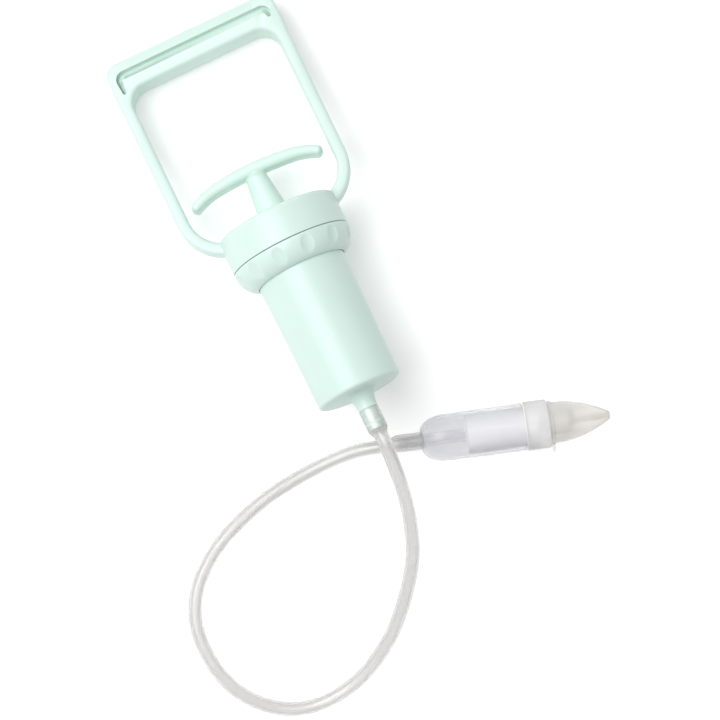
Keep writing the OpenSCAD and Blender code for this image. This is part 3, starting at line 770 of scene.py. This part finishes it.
share = calc("SUBTRACT", 1, calc("DIVIDE", push, radius))
shrunk = add(press, "ShaderNodeCombineXYZ")
press.links.new(calc("MULTIPLY", x, share), shrunk.inputs[0])
press.links.new(calc("MULTIPLY", y, share), shrunk.inputs[1])
press.links.new(z, shrunk.inputs[2])
moved = add(press, "GeometryNodeSetPosition")
press.links.new(given["Geometry"], moved.inputs["Geometry"])
press.links.new(shrunk.outputs[0], moved.inputs["Position"])
finish_tree(press, moved.outputs[0], press_in, press_out)
print("scallop tree has", len(press.nodes), "nodes")

# %% The plain ring, then its scallops
RING_Z = 52.4
RING_FOOT_R = 18.75
RING_BORE_R = 18.0
RING_SWEEP = radians(78)


def ring_bulge(steps):
    """Outside of the ring, from the seam down: a quarter-round that tucks in at the foot."""
    low = cos(RING_SWEEP)
    for i in range(steps + 1):
        a = RING_SWEEP * i / steps
        yield (
            RING_FOOT_R + (CAP_R - RING_FOOT_R) * (cos(a) - low) / (1 - low),
            SEAM_Z - (SEAM_Z - RING_Z) * sin(a) / sin(RING_SWEEP),
        )


ring = turned(
    "grip_ring_body",
    rounded(
        [(RING_BORE_R, RING_Z), (RING_BORE_R, 58.1), (19.1, 58.1), (19.1, 56.8), (21.05, 56.8),
         (21.05, SEAM_Z), (CAP_R - 0.15, SEAM_Z, 0.15), *list(ring_bulge(44))[1:]]
    ),
    None,
    around=576,
)
bake(ring, press, scallop_values, pump_place)
settle(ring, mint, "ring", "mint_plastic", "grip_ring")

# %% [markdown]
# ## The handle frame
#
# The frame is one flat moulding: a deep grip bar across the end, slim side bars, and two bends
# that turn in to the cap. Its section changes all the way round, which rules out a plain curve
# with a bevel. Instead a ladder is laid between its outer outline and its window, rung by rung,
# and a rounded section is set on every rung. The groove in the grip bar's front is cut last.

# %% Ladder between the frame's outline and its window
FRAME_X = 35.7
WINDOW_X = 30.9
BEND_X = 16.9
BEND_Z = 87.886
BEND_R = 16.4
SIDE_W = 4.8
WINDOW_Z = 144
FRAME_Z = 156.2
OUTER_ROUND = 5
INNER_ROUND = 7.5
GRIP_HALF_DEPTH = 8


def frame_ladder():
    """Pairs of an outer and an inner point, from the cap round the left half to the middle."""
    rungs = []
    for i in range(17):
        a = radians(248 - 68 * i / 16)
        spoke = Vector((cos(a), sin(a)))
        centre = Vector((-BEND_X, BEND_Z))
        rungs.append((centre + spoke * (BEND_R + SIDE_W / 2), centre + spoke * (BEND_R - SIDE_W / 2)))
    corner_z = WINDOW_Z - INNER_ROUND
    for i in range(1, 25):
        z_here = BEND_Z + (corner_z - BEND_Z) * i / 24
        rungs.append((Vector((-FRAME_X, z_here)), Vector((-WINDOW_X, z_here))))
    inner_mid = Vector((-WINDOW_X + INNER_ROUND, corner_z))
    outer_mid = Vector((-FRAME_X + OUTER_ROUND, FRAME_Z - OUTER_ROUND))
    rise = FRAME_Z - OUTER_ROUND - corner_z
    arc = OUTER_ROUND * pi / 2
    run = inner_mid.x - outer_mid.x
    total = rise + arc + run
    for i in range(1, 33):
        share = i / 32
        a = radians(180 - 90 * share)
        inner = inner_mid + INNER_ROUND * Vector((cos(a), sin(a)))
        went = share * total
        if went <= rise:
            outer = Vector((-FRAME_X, corner_z + went))
        elif went <= rise + arc:
            b = pi - (went - rise) / OUTER_ROUND
            outer = outer_mid + OUTER_ROUND * Vector((cos(b), sin(b)))
        else:
            outer = Vector((outer_mid.x + went - rise - arc, FRAME_Z))
        rungs.append((outer, inner))
    for i in range(1, 9):
        x_here = inner_mid.x * (1 - i / 8)
        rungs.append((Vector((x_here, FRAME_Z)), Vector((x_here, WINDOW_Z))))
    return rungs


left_half = frame_ladder()
mirrored = [(Vector((-o.x, o.y)), Vector((-n.x, n.y))) for o, n in left_half[-2::-1]]
ladder = left_half + mirrored
print("frame ladder has", len(ladder), "rungs")

# %% Rounded section on every rung


def half_depth(z_here):
    """Half of the frame's front-to-back depth: slim at the cap, deep at the grip bar."""
    slim, z_slim, z_deep = 4.5, 100.5, 136.5
    return slim + (GRIP_HALF_DEPTH - slim) * eased((z_here - z_slim) / (z_deep - z_slim))


def frame_ring(outer, inner, rounding=1.45, steps=5):
    """Closed ring of points around one rung, flat-sided with four rounded corners."""
    width = (outer - inner).length
    out = (outer - inner) / width
    corners = [(width, -1), (width, 1), (0, 1), (0, -1)]
    ring_points = []
    for n, (w, side) in enumerate(corners):
        for k in range(steps + 1):
            a = pi / 2 * (n - 1 + k / steps)
            sideways = w + rounding * (cos(a) - (1 if w else -1))
            spot = inner + out * sideways
            depth = half_depth(spot.y)
            ring_points.append((spot.x, side * (depth - rounding) + rounding * sin(a), spot.y))
    return ring_points


# %% Swept solid, and the handle frame


def swept(name, rings, place=None, smooth_below=38):
    """Solid through a list of closed rings of points, capped at both ends."""
    sides = len(rings[0])
    last = (len(rings) - 1) * sides
    faces = [
        (
            i * sides + j,
            i * sides + (j + 1) % sides,
            (i + 1) * sides + (j + 1) % sides,
            (i + 1) * sides + j,
        )
        for i in range(len(rings) - 1)
        for j in range(sides)
    ]
    faces.append(tuple(range(sides)))
    faces.append(tuple(range(last, last + sides)))
    return new_object(name, [p for ring in rings for p in ring], faces, place, smooth_below)


handle = swept("handle_frame_body", [frame_ring(o, n) for o, n in ladder], pump_place, smooth_below=50)
print("handle faces", len(handle.data.polygons))

# %% [markdown]
# The groove is a long slot with both ends turned down, the left one further than the right. A
# cutter of that shape is made from a swept outline and taken away with a Boolean modifier, which
# is applied at once. That keeps the walls of the groove crisp against the soft edges around it.

# %% Outline of the groove
GROOVE_DEPTH = 3.4
GROOVE_Z = 150.5
GROOVE_HALF = 1.7


def groove_line():
    """Middle line of the groove with the half width at each point, from the left end to the right."""
    reach = FRAME_X - 2.4 - GROOVE_HALF
    bend = 2.2
    line = [(Vector((-reach, GROOVE_Z - 6.5)), 0.8), (Vector((-reach, GROOVE_Z - 4)), 1.0)]
    for i in range(9):
        a = radians(180 - 90 * i / 8)
        spot = Vector((-reach + bend, GROOVE_Z - bend)) + bend * Vector((cos(a), sin(a)))
        line.append((spot, 1.15 + (GROOVE_HALF - 1.15) * i / 8))
    for i in range(9):
        a = radians(90 - 90 * i / 8)
        spot = Vector((reach - bend, GROOVE_Z - bend)) + bend * Vector((cos(a), sin(a)))
        line.append((spot, GROOVE_HALF - 0.5 * i / 8))
    line.append((Vector((reach, GROOVE_Z - 3)), 0.9))
    return line


def groove_outline(shift, size):
    """Stadium-ended outline: the groove's width times size, moved by shift to its upper side."""
    line = groove_line()
    upper, lower = [], []
    for i, (spot, half) in enumerate(line):
        ahead = (line[min(i + 1, len(line) - 1)][0] - line[max(i - 1, 0)][0]).normalized()
        across = Vector((-ahead.y, ahead.x)) * half
        upper.append(spot + across * (shift + size))
        lower.append(spot + across * (shift - size))
    ends = []
    for (spot, half), other, way in ((line[-1], line[-2], 1), (line[0], line[1], -1)):
        ahead = (spot - other[0]).normalized() * half
        across = Vector((-ahead.y, ahead.x))
        middle = spot + across * shift * way
        turns = [pi * k / 8 for k in range(1, 8)]
        ends.append([middle + size * (across * cos(a) + ahead * sin(a)) for a in turns])
    return upper + ends[0] + lower[::-1] + ends[1]


print("groove outline has", len(groove_outline(0, 1)), "points")

# %% Cut the groove


def combine(keep, tool, operation, smooth_below):
    """Cuts a closed tool from a closed solid, or joins it on; the tool is used up."""
    step = keep.modifiers.new("Combine", "BOOLEAN")
    step.operation = operation
    step.solver = "EXACT"
    step.object = tool
    apply_modifiers(keep, smooth_below=smooth_below)
    bpy.data.objects.remove(tool)


def groove_cutter():
    """Trough with a steep upper wall and a sloping lower one, open to the grip bar's front."""
    front = -GRIP_HALF_DEPTH
    levels = ((front + GROOVE_DEPTH, 0.86, 0.12), (front, 0, 1), (front - 4, 0, 1))
    rings = [[(p.x, y_here, p.y) for p in groove_outline(shift, size)] for y_here, shift, size in levels]
    return swept("groove cutter", rings, pump_place)


combine(handle, groove_cutter(), "DIFFERENCE", 50)
settle(handle, mint, "pump", "mint_plastic", "handle_frame")

# %% [markdown]
# ## The finger bar
#
# Two fingers pull this bar. Its middle line is a long flat arc that runs into a tighter one at
# each tip, its section is flat above and below and round in front and behind, and a tapered hub
# runs down to the rod. The bar is swept from sections and the hub is turned, and the two are
# joined with a Boolean, so that the piece is one closed skin as it is in the mould.

# %% Section of the finger bar
BAR_HALF = 27.5
BAR_H = 5.0
BAR_TIP_H = 3.4
BAR_DEPTH = 11
BAR_Z = 96.3
MID_X, MID_R, END_R = 16, 120, 28
mid_turn = asin(MID_X / MID_R)
end_z = BAR_Z - MID_R + (MID_R - END_R) * cos(mid_turn)
end_x = MID_X - END_R * sin(mid_turn)


def bar_ring(x_here, sides=36):
    """Section of the bar at a distance from its middle, square to its middle line."""
    off = abs(x_here)
    if off < MID_X:
        lean = asin(off / MID_R)
        z_here = BAR_Z - MID_R + MID_R * cos(lean)
    else:
        lean = asin((off - end_x) / END_R)
        z_here = end_z + END_R * cos(lean)
    lean *= 1 if x_here > 0 else -1
    high = BAR_TIP_H + (BAR_H - BAR_TIP_H) * (1 - (off / BAR_HALF) ** 2)
    left = min(1, (BAR_HALF - off) / (BAR_TIP_H / 2))
    full = max(0.04, sqrt(max(0, 1 - (1 - left) ** 2)))
    thick = high / 2 * full
    flat = (BAR_DEPTH - high) / 2 * (0.45 + 0.55 * full)
    ring_points = []
    for k in range(sides):
        a = 2 * pi * (k + 0.5) / sides
        rise, deep = thick * sin(a), thick * cos(a) + (flat if cos(a) > 0 else -flat)
        ring_points.append((x_here + rise * sin(lean), deep, z_here + rise * cos(lean)))
    return ring_points


# %% Finger bar and its hub
HALF_STEPS = 44
spots = [BAR_HALF * 0.9995 * sin(pi / 2 * i / HALF_STEPS) for i in range(-HALF_STEPS, HALF_STEPS + 1)]
bar = swept("finger_bar_body", [bar_ring(spot) for spot in spots], pump_place, 60)
ROD_R = 3
ROD_TOP_Z = 89.3
hub = turned(
    "hub",
    rounded(
        [(ROD_R, 76.9), (6.3, 76.9, 0.5), (4.2, 92.9, 3.0), (5.2, 94.4), (4.0, 96.0), (0, 96.0),
         (0, ROD_TOP_Z), (ROD_R, ROD_TOP_Z)]
    ),
    pump_place,
    around=96,
)
combine(bar, hub, "UNION", 40)
# The bar takes the lighter copy of the mint, painted light against the shade on its top.
settle(bar, mint_lit_for_bar, "plunger", "mint_plastic", "finger_bar")

# %% [markdown]
# ## The rod, its guide and the return spring
#
# A white rod slides in a white bush in the middle of the cap, and both show when the bar is
# pulled. The spring inside the barrel brings the bar back. It is a wire that follows a rule, so a
# Geometry Nodes tree winds it: a spiral with one closed turn at each end, thickened to wire.

# %% Rod and guide
GUIDE_BORE_R = 3.05
GUIDE_TOP_Z = 76.7
guide = turned(
    "guide_bush_body",
    rounded(
        [(GUIDE_BORE_R, 66.6), (6, 66.6), (6, CAP_Z), (7.6, CAP_Z, 0.1), (7.6, GUIDE_TOP_Z, 0.45),
         (GUIDE_BORE_R, GUIDE_TOP_Z, 0.35)]
    ),
    pump_place,
)
settle(guide, acetal, "pump", "white_plastic", "guide_bush")
rod = turned(
    "piston_rod_body",
    rounded(
        [(1.5, 8.0), (ROD_R, 8.0), (ROD_R, 15.0), (4.2, 15.0), (4.2, 17.0), (5.6, 17.0, 0.3),
         (5.6, 18.2, 0.3), (ROD_R, 18.2, 0.2), (ROD_R, ROD_TOP_Z, 0.6), (0, ROD_TOP_Z), (0, 22), (1.5, 22)]
    ),
    pump_place,
)
settle(rod, acetal, "plunger", "white_plastic", "piston_rod")

# %% Tree that winds the spring
spring_values = {
    "Coil Radius": 10.2 * MM, "Wire": 1.3 * MM, "Open Turns": 7.0, "Bottom": 15.75 * MM,
    "Top": 71.35 * MM, "Points": 432, "Material": steel,
}
wind, wind_in, wind_out = geometry_tree("Wound spring", spring_values)
calc, given = partial(maths, wind), wind_in.outputs
wire, open_turns = given["Wire"], given["Open Turns"]
all_turns = calc("ADD", open_turns, 2)
spiral = add(wind, "GeometryNodeCurveSpiral", {"Height": 1.0})
wind.links.new(given["Points"], spiral.inputs["Resolution"])
wind.links.new(all_turns, spiral.inputs["Rotations"])
for end in ("Start Radius", "End Radius"):
    wind.links.new(given["Coil Radius"], spiral.inputs[end])
along = add(wind, "GeometryNodeInputPosition")
pieces = add(wind, "ShaderNodeSeparateXYZ")
wind.links.new(along.outputs[0], pieces.inputs[0])
went = calc("MULTIPLY", pieces.outputs[2], all_turns)
after_first = calc("SUBTRACT", went, 1)
closed_low = calc("MULTIPLY", calc("MINIMUM", went, 1), wire)
open_run = calc("MINIMUM", calc("MAXIMUM", after_first, 0), open_turns)
closed_high = calc("MULTIPLY", calc("MAXIMUM", calc("SUBTRACT", after_first, open_turns), 0), wire)
free = calc("SUBTRACT", calc("SUBTRACT", given["Top"], given["Bottom"]), calc("MULTIPLY", wire, 2))
pitch = calc("DIVIDE", free, open_turns)
low_part = calc("ADD", given["Bottom"], closed_low)
height = calc("ADD", low_part, calc("ADD", calc("MULTIPLY", open_run, pitch), closed_high))
wound = add(wind, "ShaderNodeCombineXYZ")
wind.links.new(pieces.outputs[0], wound.inputs[0])
wind.links.new(pieces.outputs[1], wound.inputs[1])
wind.links.new(height, wound.inputs[2])
lift = add(wind, "GeometryNodeSetPosition")
wind.links.new(spiral.outputs[0], lift.inputs["Geometry"])
wind.links.new(wound.outputs[0], lift.inputs["Position"])
section = add(wind, "GeometryNodeCurvePrimitiveCircle", {"Resolution": 14})
wind.links.new(calc("MULTIPLY", wire, 0.5), section.inputs["Radius"])
thick = add(wind, "GeometryNodeCurveToMesh", {"Fill Caps": True})
wind.links.new(lift.outputs[0], thick.inputs["Curve"])
wind.links.new(section.outputs[0], thick.inputs["Profile Curve"])
finish_tree(wind, thick.outputs[0], wind_in, wind_out)
print("spring tree has", len(wind.nodes), "nodes")

# %% The spring
any_triangle = [(0, 0, 0), (1, 0, 0), (0, 1, 0)]  # the tree winds its wire and ignores this mesh
spring = new_object("return_spring_body", any_triangle, [(0, 1, 2)])
bake(spring, wind, spring_values, pump_place)
settle(spring, steel, "pump", "spring_steel", "return_spring")
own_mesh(spring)

# %% [markdown]
# ## The collection chamber
#
# The cup is a clear tube with a round end, a port for the hose and a thin inlet tube that reaches
# inside, so that what is caught can't run back. A milky sleeve hangs in it from a frosted collar,
# and the collar's nipple carries the nose tip. All of them are turned about the chamber's axis,
# each with its real wall, because light passes through every one of these walls.

# %% Cup
CUP_R = 9.1
CUP_IN_R = 7.9
DOME = 10
CUP_MOUTH_Z = 40.5
INLET_R = 2.6
INLET_END_Z = 17.0
outside = quarter(3.5, CUP_R, 0, DOME, 20)
inside = quarter(INLET_R, CUP_IN_R, 1.2, DOME, 20)[::-1]
cup = turned(
    "chamber_cup_body",
    rounded(
        [(1.3, INLET_END_Z), (1.3, -PORT_LENGTH), (1.95, -PORT_LENGTH, 0.2), (2.1, 0), *outside,
         (9.35, CUP_MOUTH_Z, 0.1), (CUP_IN_R, CUP_MOUTH_Z, 0.3), *inside, (INLET_R, INLET_END_Z, 0.3)]
    ),
    chamber_place,
    around=144,
)
settle(cup, clear_cup, "pump", "clear_plastic", "chamber_cup")

# %% Sleeve and collar
SLEEVE_R = 7.85
SLEEVE_TOP_Z = 46.0
COLLAR_R = 9.55
COLLAR_TOP_Z = 50.2
NIPPLE_R = 4.65
NIPPLE_END_Z = 58.7
sleeve = turned(
    "chamber_sleeve_body",
    rounded([(6.85, 18.0, 0.3), (SLEEVE_R, 18.0, 0.3), (SLEEVE_R, SLEEVE_TOP_Z), (6.85, SLEEVE_TOP_Z)]),
    chamber_place,
    around=144,
)
settle(sleeve, milky, "insert", "milky_plastic", "chamber_sleeve")
collar = turned(
    "tip_collar_body",
    rounded(
        [(SLEEVE_R, 41.0), (COLLAR_R, 41.0, 0.1), (COLLAR_R, COLLAR_TOP_Z, 0.7), (5.4, COLLAR_TOP_Z, 0.6),
         (NIPPLE_R, 51.2, 0.3), (NIPPLE_R, NIPPLE_END_Z, 1.6), (1.3, NIPPLE_END_Z, 0.4),
         (1.3, SLEEVE_TOP_Z), (SLEEVE_R, SLEEVE_TOP_Z)],
        steps=8,
    ),
    chamber_place,
    around=144,
)
settle(collar, frosted, "insert", "frosted_plastic", "tip_collar")

# %% [markdown]
# ## The nose tip
#
# The tip is soft silicone. A thin rim sits against the collar, a pull tab stands out at one side,
# and the body narrows in an ogive to a small hole. The tab is a rounded slab pushed a little into
# the rim and joined to it.

# %% Nose tip
TIP_Z = 50.3
TIP_L = 24
RIM_R = 8.6
RIM_T = 1.6
SHOULDER_R = 8.1
END_TIP_R = 1.8


def ogive(steps=26):
    """Outside of the tip from the rim to the outlet."""
    for i in range(steps + 1):
        t = i / steps
        yield END_TIP_R + (SHOULDER_R - END_TIP_R) * (1 - t**2.1), TIP_Z + RIM_T + (TIP_L - RIM_T - 0.6) * t


tip = turned(
    "nose_tip_body",
    rounded(
        [(4.7, TIP_Z), (RIM_R, TIP_Z, 0.12), (RIM_R, TIP_Z + RIM_T, 0.4), *ogive(), (1.3, TIP_Z + TIP_L),
         (0.9, TIP_Z + TIP_L, 0.2), (0.9, 60.9), (3.45, 59.1), (4.7, 57.7)]
    ),
    chamber_place,
    around=144,
)


# %% Pull tab, joined to the tip


def rounded_slab(name, centre, size, rounding, place):
    """Box with all edges rounded by a Bevel modifier, applied at once."""
    half = [s / 2 for s in size]
    points = [
        (centre[0] + sx * half[0], centre[1] + sy * half[1], centre[2] + sz * half[2])
        for sx in (-1, 1)
        for sy in (-1, 1)
        for sz in (-1, 1)
    ]
    faces = [(0, 1, 3, 2), (4, 6, 7, 5), (0, 4, 5, 1), (2, 3, 7, 6), (0, 2, 6, 4), (1, 5, 7, 3)]
    slab = new_object(name, points, faces)
    soft_edges = slab.modifiers.new("Round", "BEVEL")
    soft_edges.width = rounding * MM
    soft_edges.segments = 4
    apply_modifiers(slab, place)
    return slab


tab = rounded_slab("tab", (0, -(RIM_R + 1.05), TIP_Z + 0.8), (3.0, 3.3, 1.2), 0.5, chamber_place)
combine(tip, tab, "UNION", 40)
settle(tip, silicone, "tip", "tip_silicone", "nose_tip")

# %% [markdown]
# ## Parts kept from the CAD model
#
# The gaskets, the piston and the valves sit out of sight inside the pump. Their CAD shapes are
# right as they are, so they only get a finish: white acetal, dark rubber or bright steel.

# %% Finishes of the kept parts
kept = {
    "piston_head": (acetal, "white_plastic"),
    "valve_cage": (acetal, "white_plastic"),
    "barrel_gasket": (rubber, "seal_rubber"),
    "rod_wiper": (rubber, "seal_rubber"),
    "piston_seal": (rubber, "seal_rubber"),
    "exhaust_valve": (rubber, "seal_rubber"),
    "inlet_valve": (rubber, "seal_rubber"),
    "spring_seat": (steel, "spring_steel"),
    "piston_screw": (steel, "spring_steel"),
    "chamber_gasket": (pale_seal, "tip_silicone"),
}
for node, (material, slot) in kept.items():
    part = frame["nodes"][node]
    part.data.materials.clear()
    part.data.materials.append(material)
print("kept from the CAD:", len(kept))

# %% [markdown]
# ## Table and light
#
# The object lies on a plain white table, which glows very faintly so that it stays white right
# out to the corners. A large soft light stands at the upper left, high enough to light the faces
# that look up, and a pale sky fills the shadows, so that the right side of the barrel is only a
# few tones darker than the left.

# %% Table
TABLE_HALF = 3
TABLE_DROP = 2e-4
TABLE_GLOW = 0.18
table_corners = [
    (x * TABLE_HALF, y * TABLE_HALF, -TABLE_DROP) for x, y in ((-1, -1), (1, -1), (1, 1), (-1, 1))
]
floor_mesh = bpy.data.meshes.new("Table")
floor_mesh.from_pydata(table_corners, [], [(0, 1, 2, 3)])
floor = bpy.data.objects.new("Table", floor_mesh)
bpy.context.scene.collection.objects.link(floor)
floor_mesh.materials.append(
    solid_finish(
        "White table", (0.93, 0.93, 0.928), (0.92, 0.92, 0.918), (0.93, 0.93, 0.93), 0.8, bump=0, clouds=4,
        Emission_Color=(1, 1, 1, 1), Emission_Strength=TABLE_GLOW,
    )
)
print("table", 2 * TABLE_HALF, "m across")

# %% Light and view


def area_light(name, spot, target, size, power, colour=(1, 1, 1)):
    data = bpy.data.lights.new(name, "AREA")
    data.size, data.energy, data.color = size, power, colour
    lamp = bpy.data.objects.new(name, data)
    lamp.location = spot
    lamp.rotation_euler = (Vector(target) - Vector(spot)).to_track_quat("-Z", "Y").to_euler()
    bpy.context.scene.collection.objects.link(lamp)
    return lamp


SKY_STRENGTH = 0.54
world = bpy.data.worlds.new("Studio")
world.use_nodes = True
world.node_tree.nodes["Background"].inputs["Color"].default_value = (1, 1, 1, 1)
world.node_tree.nodes["Background"].inputs["Strength"].default_value = SKY_STRENGTH
bpy.context.scene.world = world
area_light("Key from the upper left", (-0.50, 0.46, 1.45), (0, -0.04, 0), 1.1, 20.5)
bpy.context.scene.view_settings.view_transform = "Standard"
